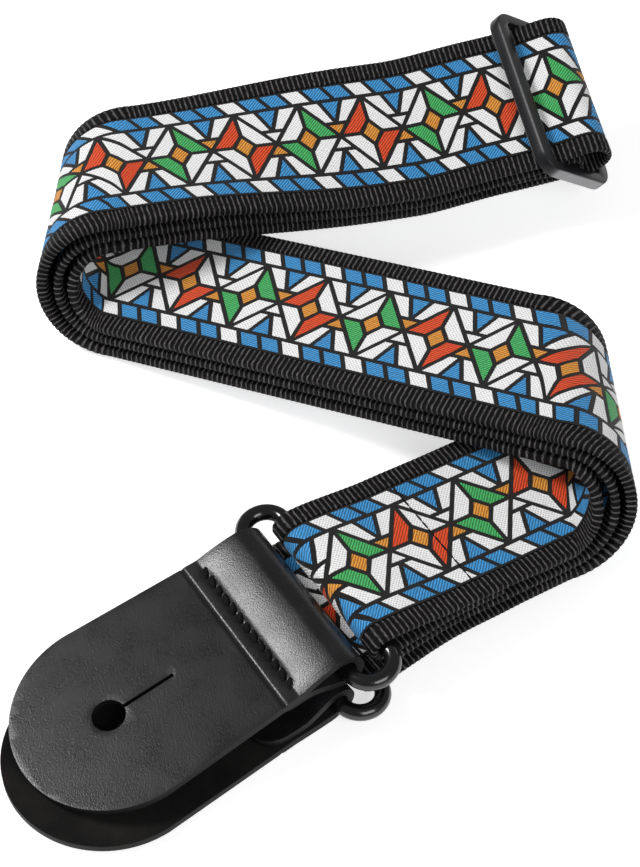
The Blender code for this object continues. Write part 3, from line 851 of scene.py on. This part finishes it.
def ribbon_ground(name, band, low, high):
    """Black ground weave of the ribbon."""
    half_w = sizes().ribbon_width / 2
    along = band.stations(FLAT_STEP, BENT_STEP)
    across = np.linspace(-half_w, half_w, 15)
    v = np.concatenate([across, across[::-1]])
    h = np.repeat([high, low], len(across))
    return skin(name, band, along, np.tile(v, (len(along), 1)), np.tile(h, (len(along), 1)), 40.0)


def follow(ob, label):
    """The tail's transform is baked into its mesh; the rest of the strap is attached to the strap's body and
    stays put.
    """
    if label == "tail":
        start = place(ROLL_END - 30, 0.0, 0.0)[0]
        end = place(SLIDER_S - TAIL_FLAP - 8, 0.0, 0.0)[0]
        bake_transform(ob)
    else:
        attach(ob, "strap")


class STRAP_OT_webbing(bpy.types.Operator):
    """Weave the three lengths of black webbing"""
    bl_idname = "strap.webbing"
    bl_label = "Webbing"

    def execute(self, context):
        mat = rib_material()
        for label, path in band_paths().items():
            ob, band = woven_band(label + "_band", label, path)
            ob.data.materials.append(mat)
            follow(ob, label)
            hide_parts(label + "_webbing")
        return {"FINISHED"}


class STRAP_OT_ribbon(bpy.types.Operator):
    """Weave the mosaic ribbon on each length of webbing"""
    bl_idname = "strap.ribbon"
    bl_label = "Mosaic ribbon"

    def execute(self, context):
        top = sizes().thickness / 2 - RIBBON_SUNK
        ground = yarn_material("ribbon_ground_yarn", (0.0085, 0.0068, 0.0066), along=0.55, across=0.55,
                               lean=0.0, roughness=0.75)
        cell_yarns = []
        for key in CELL_YARNS:
            shades = {"lean": 1.0, "dark": 0.36, "light": 1.36}
            if key == "white":
                shades = {"lean": 0.0, "dark": 0.5, "light": 1.08, "full": 0.6, "sheen": 0.0}
            dyed = tuple(getattr(colours(), key))
            cell_yarns.append(yarn_material(key + "_yarn", dyed, along=1.05, across=1.05, **shades))
        for label, path in band_paths().items():
            band = Band(label, path)
            base = ribbon_ground(label + "_ribbon_ground", band, top - GROUND_BOTTOM, top - GROUND_SUNK)
            base.data.materials.append(ground)
            cells = cell_plates(label + "_ribbon_cells", band, top - CELL_T, top)
            for yarn in cell_yarns:
                cells.data.materials.append(yarn)
            for ob in (base, cells):
                follow(ob, label)
            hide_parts(label + "_ribbon")
        return {"FINISHED"}


# Stitches.

def one_stitch(name, length, radius, dip):
    """A short length of thread whose two ends go down into their holes, made along Y."""
    deselect()
    bpy.ops.mesh.primitive_uv_sphere_add(segments=10, ring_count=8, radius=1.0)
    ob = bpy.context.object
    ob.name = name
    bpy.ops.transform.rotate(value=math.pi / 2, orient_axis="X", center_override=(0, 0, 0))
    bpy.ops.object.transform_apply(location=False, rotation=True, scale=False)
    bpy.ops.transform.resize(value=(radius, length / 2, radius))
    bpy.ops.object.transform_apply(location=False, rotation=False, scale=True)

    def droop(p):
        p[:, 2] -= dip * (np.abs(p[:, 1]) / (length / 2)) ** 3
        return p

    move_points(ob, droop)
    return ob


def stitch_row(name, where, count, length, radius, dip, slant=0.0, uneven=0.0):
    """Copies one stitch along a row. where(i) gives the stitch's place and its three directions.
    A hand-sewn row is uneven: its stitches differ in length and slant."""
    pattern = one_stitch(name + "_one", length, radius, dip)
    points = points_of(pattern)
    faces = [list(f.vertices) for f in pattern.data.polygons]
    bpy.data.objects.remove(pattern, do_unlink=True)
    hand = np.random.default_rng(count)
    all_points, all_faces = [], []
    for i in range(count):
        centre, x, y, z = where(i)
        stretch, tilt = np.array([1.0, slant]) + uneven * hand.uniform(-1.0, 1.0, 2)
        c, s = math.cos(tilt), math.sin(tilt)
        turn = np.array([[c, s, 0.0], [-s, c, 0.0], [0.0, 0.0, 1.0]])
        base = len(all_points) * len(points)
        all_points.append(centre + (points * (1.0, stretch, 1.0) @ turn @ np.stack([x, y, z])) * MM)
        all_faces += [[base + k for k in f] for f in faces]
    ob = mesh_piece(name, np.concatenate(all_points), all_faces)
    outward(ob)
    soften(ob, 80.0)
    return ob


def directions(point, along, across):
    """Three square directions from a place and two nearby ones."""
    y = across - point
    y /= np.linalg.norm(y)
    x = along - point
    x -= y * x.dot(y)
    x /= np.linalg.norm(x)
    return x, y, np.cross(x, y)


class STRAP_OT_cross_stitches(bpy.types.Operator):
    """Sew the rows that close the webbing's two ends"""
    bl_idname = "strap.cross_stitches"
    bl_label = "Cross stitches"

    def execute(self, context):
        bands = {label: Band(label, path) for label, path in band_paths().items()}
        # Length of strap, place in the side view, part of the length to look for it in, CAD node and name.
        rows = (("front", SEWN_S, 45.0, 130.0, "fixed_end_stitch", "fixed_end_threads"),
                ("tail", SLIDER_S - TAIL_SEAM_BACK - 2, 300.0, 600.0, "tail_end_stitch", "tail_end_threads"))
        half = sizes().thickness / 2
        for label, s_at, first, last, node, name in rows:
            band = bands[label]
            near = np.linspace(first, min(last, band.length), 4000)
            s, _, _, upward = band.side_view(near)
            up = upward > 0.5
            at = float(near[up][np.argmin(np.abs(s[up] - s_at))])

            def where(i, band=band, at=at):
                v = ROW_HALF * (2 * i / (CROSS_STITCHES - 1) - 1)
                p, q, r = band.at([at, at + 0.5, at], [v, v, v + 0.5], [half - 0.02] * 3)
                x, y, z = directions(p, q, r)
                return p, x, y, -z if z[2] < 0 else z

            ob = stitch_row(name, where, CROSS_STITCHES, length=3.2, radius=0.27, dip=0.15)
            ob.data.materials.append(thread_material())
            follow(ob, label)
            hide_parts(node)
        return {"FINISHED"}


# Leather tabs.

class TabProfile:
    """Side view of a tab: flat from its tip, round the ring's bar and back under itself."""

    def __init__(self, bar, pitch, side):
        down = math.radians(pitch)
        back = np.array([-math.cos(down), -math.sin(down)])
        up = np.array([-back[1], back[0]]) * -side
        radius = WIRE_R + EASE + TAB_T / 2
        near = bar + up * radius
        base = math.degrees(math.atan2(up[1], up[0]))
        turn = arc(bar, radius, base, base - 180 * side, 40)
        under = near + back * (SEAM_FROM_FOLD - 6) - up * (TAB_T + EASE)
        strip = join(turn, curve(turn[-1], back, under, back, 24),
                     line(under, under + back * (FLAP_L - SEAM_FROM_FOLD + 6)))
        self.path = join(line(near + back * TAB_L, near), strip)
        self.at_length = lengths_along(self.path)
        self.length = self.at_length[-1]
        self.normal = left_of(self.path) * side
        self.side = side

    def at(self, x, v, h):
        """x from the tip in millimetres, v across, h above the middle of the leather on its smooth side."""
        s, o, ns, no = (np.interp(x, self.at_length, c) for c in
                        (self.path[:, 0], self.path[:, 1], self.normal[:, 0], self.normal[:, 1]))
        return place(s + ns * h, o + no * h, v, self.side < 0)


def boolean(ob, cutter, operation):
    apply_modifier(ob, "BOOLEAN", operation=operation, solver="EXACT", object=cutter)
    bpy.data.objects.remove(cutter, do_unlink=True)


def add_block(size, centre):
    deselect()
    bpy.ops.mesh.primitive_cube_add(size=1.0, location=centre)
    bpy.ops.transform.resize(value=size)
    bpy.ops.object.transform_apply(location=True, rotation=False, scale=True)
    return bpy.context.object


def round_corners(ob, radius, beyond=-1e9):
    """Rounds the upright edges of a block that lie past a place along X."""
    make_active(ob)
    bpy.ops.object.mode_set(mode="EDIT")
    bpy.ops.mesh.select_mode(type="EDGE")
    bpy.ops.mesh.select_all(action="DESELECT")
    bm = bmesh.from_edit_mesh(ob.data)
    ends = [(e, e.verts[0].co, e.verts[1].co) for e in bm.edges]
    corners = [e for e, a, b in ends if abs(a.z - b.z) > 1.0 and a.x > beyond]
    for e in corners:
        e.select_set(True)
    bmesh.update_edit_mesh(ob.data)
    bpy.ops.mesh.bevel(offset=radius, segments=10, affect="EDGES")
    bpy.ops.object.mode_set(mode="OBJECT")
    if not corners or len(ob.data.vertices) == 8:
        raise RuntimeError("no corner was rounded")


def ease_edges(ob, radius, segments):
    """Rounds the sharp edges of a piece."""
    apply_modifier(ob, "BEVEL", width=radius, segments=segments, limit_method="ANGLE",
                   angle_limit=math.radians(50))


def add_disc(radius, depth, centre, vertices):
    deselect()
    bpy.ops.mesh.primitive_cylinder_add(vertices=vertices, radius=radius, depth=depth, location=centre)
    bpy.ops.object.transform_apply(location=True, rotation=False, scale=False)
    return bpy.context.object


def leather_tab(name, profile):
    """Cut the tab flat, in millimetres, ease its edges, then wrap it round the ring's bar."""
    tip_r = TAB_TIP_W / 2
    ob = add_disc(tip_r, TAB_T, (tip_r, 0, 0), 96)
    ob.name = name
    long = profile.length - tip_r
    strip = add_block((long, TAB_TIP_W, TAB_T), (tip_r + long / 2, 0, 0))
    round_corners(strip, FLAP_CORNER_R, tip_r + 1.0)
    boolean(ob, strip, "UNION")
    boolean(ob, add_disc(HOLE_D / 2, 10, (HOLE_FROM_TIP, 0, 0), 40), "DIFFERENCE")
    boolean(ob, add_block((SLIT_L, SLIT_W, 10), (HOLE_FROM_TIP + SLIT_L / 2, 0, 0)), "DIFFERENCE")
    ease_edges(ob, TAB_EDGE_R, 4)
    make_active(ob)
    bpy.ops.object.mode_set(mode="EDIT")
    places = (*np.arange(2.0, TAB_SEAM - 8, 3.0), *np.arange(TAB_SEAM - 7, TAB_SEAM + 3, 0.3),
              *np.arange(TAB_SEAM + 3, profile.length - 0.8, 0.8))
    cuts = [((x, 0, 0), (1, 0, 0)) for x in places]
    cuts += [((0, y, 0), (0, 1, 0)) for y in np.linspace(-24, 24, 17)]
    for co, no in cuts:
        bpy.ops.mesh.select_all(action="SELECT")
        bpy.ops.mesh.bisect(plane_co=co, plane_no=no)
    bpy.ops.object.mode_set(mode="OBJECT")
    for face in ob.data.polygons:
        face.material_index = 1 if face.normal.z < -0.5 else 0 if face.normal.z > 0.8 else 2

    def sheen_band(p):
        """Where a painted sheen lightens the smooth side, between the stitches and the ring."""
        x, _, h = p.T
        tight = smooth(TAB_SEAM + 0.8, TAB_SEAM + 2.5, x) * (1 - smooth(TAB_SEAM + 2.5, TAB_L - 2.0, x))
        return tight * (h > 0)

    def wrapped(p):
        """Swollen over the ring and drawn in along the stitches, then round the ring's bar."""
        x, v, h = p.T
        narrow = TAB_W / TAB_TIP_W
        taper = np.interp(x, [0, TAB_TIP_W / 2, TAB_L, 1e3], [1, 1, narrow, narrow])
        rise = np.sin(math.pi / 2 * np.clip((x - TAB_SEAM) / (TAB_L - TAB_SEAM - 1.0), 0, 1))
        puff = FRONT_PUFF if profile.side > 0 else REAR_PUFF
        swell = puff * rise * (1 - smooth(TAB_L - 2.5, TAB_L + 5.5, x))
        ledge = 0.22 * smooth(TAB_SEAM - 5.0, TAB_SEAM - 3.6, x) * (1 - smooth(TAB_L - 2, TAB_L, x))
        groove = -0.3 * np.exp(-((x - (TAB_SEAM - 4.6)) / 0.35) ** 2)
        pulled = -0.5 * np.exp(-((x - TAB_SEAM) / 1.2) ** 2) * (np.abs(v) < 23)
        return profile.at(x, v * taper, h + swell + (h > 0) * (ledge + groove + pulled))

    paint_sheen(ob, sheen_band)
    move_points(ob, wrapped)
    soften(ob, 35.0)
    return ob


class STRAP_OT_end_tabs(bpy.types.Operator):
    """Cut, sew and wrap the two leather end tabs"""
    bl_idname = "strap.end_tabs"
    bl_label = "Leather end tabs"

    def execute(self, context):
        grain, suede = leather_material(), suede_material()
        edge = gloss_material("burnished_edge", (0.004, 0.004, 0.0042), roughness=0.6, grain_scale=1500.0,
                              depth=0.00008, level=0.25)
        count = sizes().stitches
        tabs = (("front", FRONT_TAB_BAR, TAB_PITCH, 1), ("rear", REAR_TAB_BAR, REAR_PITCH, -1))
        for label, bar, pitch, side in tabs:
            profile = TabProfile(bar, pitch, side)
            tab = leather_tab(label + "_tab", profile)
            for finish in (grain, suede, edge):
                tab.data.materials.append(finish)
            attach(tab, label + "_tab")
            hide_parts(label + "_tab_leather")

            def where(i, profile=profile, side=side):
                v = ROW_HALF * (2 * i / (count - 1) - 1)
                lift = TAB_T / 2 + 0.1 * side
                along, across = TAB_SEAM + np.array([0, 0.5, 0, 0]), v + np.array([0, 0, 0.5, 0])
                p, q, r, outside = profile.at(along, across, np.array([lift, lift, lift, 3.0]))
                x, y, z = directions(p, q, r)
                return p, x, y, z if z.dot(outside - p) > 0 else -z

            row = stitch_row(label + "_tab_threads", where, count, length=4.3, radius=0.85, dip=0.7,
                             slant=0.5, uneven=0.16)
            row.data.materials.append(thread_material())
            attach(row, label + "_tab")
            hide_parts(label + "_tab_stitch")
        return {"FINISHED"}


# Hardware.

class STRAP_OT_rings(bpy.types.Operator):
    """Bend the two oval wire rings"""
    bl_idname = "strap.rings"
    bl_label = "Oval rings"

    def execute(self, context):
        gloss = gloss_material("black_ring_coat", (0.0045, 0.0045, 0.0050), roughness=0.16, grain_scale=900.0,
                               depth=0.00003, coat=0.3)
        for label, bar, tab_bar in (("front", FRONT_BAR, FRONT_TAB_BAR), ("rear", REAR_BAR, REAR_TAB_BAR)):
            deselect()
            bpy.ops.mesh.primitive_torus_add(major_segments=64, minor_segments=24, major_radius=BAR_GAP / 2,
                                             minor_radius=WIRE_R)
            ob = bpy.context.object
            ob.name = label + "_oval"
            mid, along = (bar + tab_bar) / 2, (bar - tab_bar) / BAR_GAP
            up = np.array([-along[1], along[0]])

            def stretch(p):
                v = p[:, 1] + np.sign(p[:, 1]) * RING_STRAIGHT * (np.abs(p[:, 1]) > 1e-4)
                so = mid + along * p[:, :1] + up * p[:, 2:]
                return place(so[:, 0], so[:, 1], v, label == "rear")

            move_points(ob, stretch)
            outward(ob)
            soften(ob, 60.0)
            ob.data.materials.append(gloss)
            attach(ob, label + "_ring")
            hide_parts(label + "_ring")
        return {"FINISHED"}


class STRAP_OT_slider(bpy.types.Operator):
    """Mould the three-bar slider"""
    bl_idname = "strap.slider"
    bl_label = "Slider"

    def execute(self, context):
        frame_plate = add_block((SLIDER_L, SLIDER_W, SLIDER_T), (0, 0, 0))
        frame_plate.name = "slider_moulding"
        round_corners(frame_plate, CORNER_R)
        window = add_block((SLIDER_L - 2 * FRAME_BAR, SLIDER_W - 2 * RAIL, 20), (0, 0, 0))
        apply_modifier(window, "BEVEL", width=WINDOW_R, segments=5)
        boolean(frame_plate, window, "DIFFERENCE")
        ease_edges(frame_plate, SLIDER_EDGE_R, 3)
        deselect()
        bpy.ops.mesh.primitive_cylinder_add(vertices=32, radius=CENTRE_BAR_R, depth=SLIDER_W - RAIL)
        bar = bpy.context.object
        bpy.ops.transform.rotate(value=math.pi / 2, orient_axis="X", center_override=(0, 0, 0))
        bpy.ops.object.transform_apply(location=False, rotation=True, scale=False)
        boolean(frame_plate, bar, "UNION")

        def painted_sheen(p):
            """Paler on the outer sides of the rails, as painted reflection broken by scuffs, and along the
            edges of the end bars, as painted highlight.
            """
            x, y, z = np.abs(p.T)
            sides = smooth(SLIDER_W / 2 - 0.45, SLIDER_W / 2 - 0.05, y)
            edges = (np.clip((x - SLIDER_L / 2) / SLIDER_EDGE_R + 1, 0, 1)
                     * np.clip((z - SLIDER_T / 2) / SLIDER_EDGE_R + 1, 0, 1))
            return np.maximum(sides, edges)

        paint_sheen(frame_plate, painted_sheen)
        a = math.radians(SLIDER_TILT)

        def tilt(p):
            x, y, z = p.T
            return place(SLIDER_S - x * math.cos(a) + z * math.sin(a), x * math.sin(a) + z * math.cos(a), y)

        move_points(frame_plate, tilt)
        outward(frame_plate)
        soften(frame_plate, 40.0)
        # The paler second colour is painted reflection on the rails' outer sides and painted highlight along
        # the end bars' edges.
        frame_plate.data.materials.append(
            gloss_material("satin_black_plastic", (0.0085, 0.0088, 0.0105), roughness=0.36,
                           grain_scale=2200.0, depth=0.00002, level=0.32, painted_sheen=(0.34, 0.34, 0.35)))
        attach(frame_plate, "slider")
        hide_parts("slider")
        return {"FINISHED"}


# Stage.

def aimed(name, data, at, target):
    """A lamp or camera at a place, turned to a target."""
    ob = bpy.data.objects.new(name, data)
    bpy.context.scene.collection.objects.link(ob)
    ob.location = at
    ob.rotation_euler = (target - at).to_track_quat("-Z", "Y").to_euler()
    return ob


def softbox(name, at, size, power):
    data = bpy.data.lights.new(name, "AREA")
    data.shape, data.energy = "RECTANGLE", power
    data.size, data.size_y = size
    aimed(name, data, Vector(at), Vector((0, 0, 0)))


def camera_white(sheet):
    """1 for rays that come from the camera, a gloss or a clear surface."""
    path = sheet.add("ShaderNodeLightPath").outputs
    seen = sheet.math("MAXIMUM", path["Is Camera Ray"], path["Is Glossy Ray"])
    return sheet.math("MAXIMUM", seen, path["Is Transmission Ray"])


class STRAP_OT_stage(bpy.types.Operator):
    """Lay the pale floor, set the lamps and place the camera"""
    bl_idname = "strap.stage"
    bl_label = "Stage"

    def execute(self, context):
        scene = context.scene
        scene.view_settings.view_transform = "Standard"
        deselect()
        bpy.ops.mesh.primitive_plane_add(size=4.0, location=(0, 0, CAD_BOX[0][2] - FLOOR_DROP * MM))
        floor = bpy.context.object
        floor.name = "pale_floor"
        mat, sheet, bsdf = new_material("pale_floor_paint")
        sheet.fill(bsdf, {
            "Base Color": (0.88, 0.88, 0.88),
            "Roughness": 0.9,
            "Emission Color": (1.0, 1.0, 1.0),
            "Emission Strength": sheet.times(camera_white(sheet), 0.6)})
        floor.data.materials.append(mat)

        world = bpy.data.worlds.new("studio")
        scene.world = world
        world.use_nodes = True
        back = world.node_tree.nodes["Background"]
        back.inputs["Color"].default_value = (1, 1, 1, 1)
        back.inputs["Strength"].default_value = 0.22

        softbox("key_softbox", (-0.751, 0.115, 0.825), (0.32, 0.32), 8.4)
        softbox("front_softbox", (0.45, -0.85, 0.75), (0.7, 0.6), 6.2)
        softbox("rim_softbox", (0.60, 0.80, 0.35), (0.6, 0.2), 0.5)

        wanted = stage_settings()
        up = math.radians(wanted.elevation)
        target = Vector((-3.248, -3.145, 0.022)) * MM
        data = bpy.data.cameras.new("photo_camera")
        data.lens, data.sensor_width, data.sensor_fit = wanted.lens, 36.0, "AUTO"
        data.clip_start, data.clip_end = 0.01, 20.0
        at = target + Vector((0, -math.cos(up), math.sin(up))) * wanted.distance
        scene.camera = aimed("photo_camera", data, at, target)
        return {"FINISHED"}


class STRAP_PT_panel(bpy.types.Panel):
    """Pieces of the strap"""
    bl_label = "Guitar strap"
    bl_idname = "STRAP_PT_panel"
    bl_space_type = "VIEW_3D"
    bl_region_type = "UI"
    bl_category = "Strap"

    def draw(self, context):
        for group in (context.scene.strap_sizes, context.scene.strap_colours, context.scene.strap_stage):
            for key in group.__annotations__:
                self.layout.prop(group, key)
        for operator in OPERATORS:
            self.layout.operator(operator.bl_idname)


OPERATORS = (STRAP_OT_stage, STRAP_OT_webbing, STRAP_OT_ribbon, STRAP_OT_cross_stitches, STRAP_OT_end_tabs,
             STRAP_OT_rings, STRAP_OT_slider)
CLASSES = (StrapSizes, StrapColours, StageSettings, *OPERATORS, STRAP_PT_panel)


def register():
    for cls in CLASSES:
        bpy.utils.register_class(cls)
    bpy.types.Scene.strap_sizes = PointerProperty(type=StrapSizes)
    bpy.types.Scene.strap_colours = PointerProperty(type=StrapColours)
    bpy.types.Scene.strap_stage = PointerProperty(type=StageSettings)


def unregister():
    for name in ("strap_sizes", "strap_colours", "strap_stage"):
        delattr(bpy.types.Scene, name)
    for cls in reversed(CLASSES):
        bpy.utils.unregister_class(cls)


def main():
    register()
    bpy.ops.strap.stage()
    bpy.ops.strap.webbing()
    bpy.ops.strap.ribbon()
    bpy.ops.strap.cross_stitches()
    bpy.ops.strap.end_tabs()
    bpy.ops.strap.rings()
    bpy.ops.strap.slider()
    deselect()


if __name__ == "__main__":
    main()
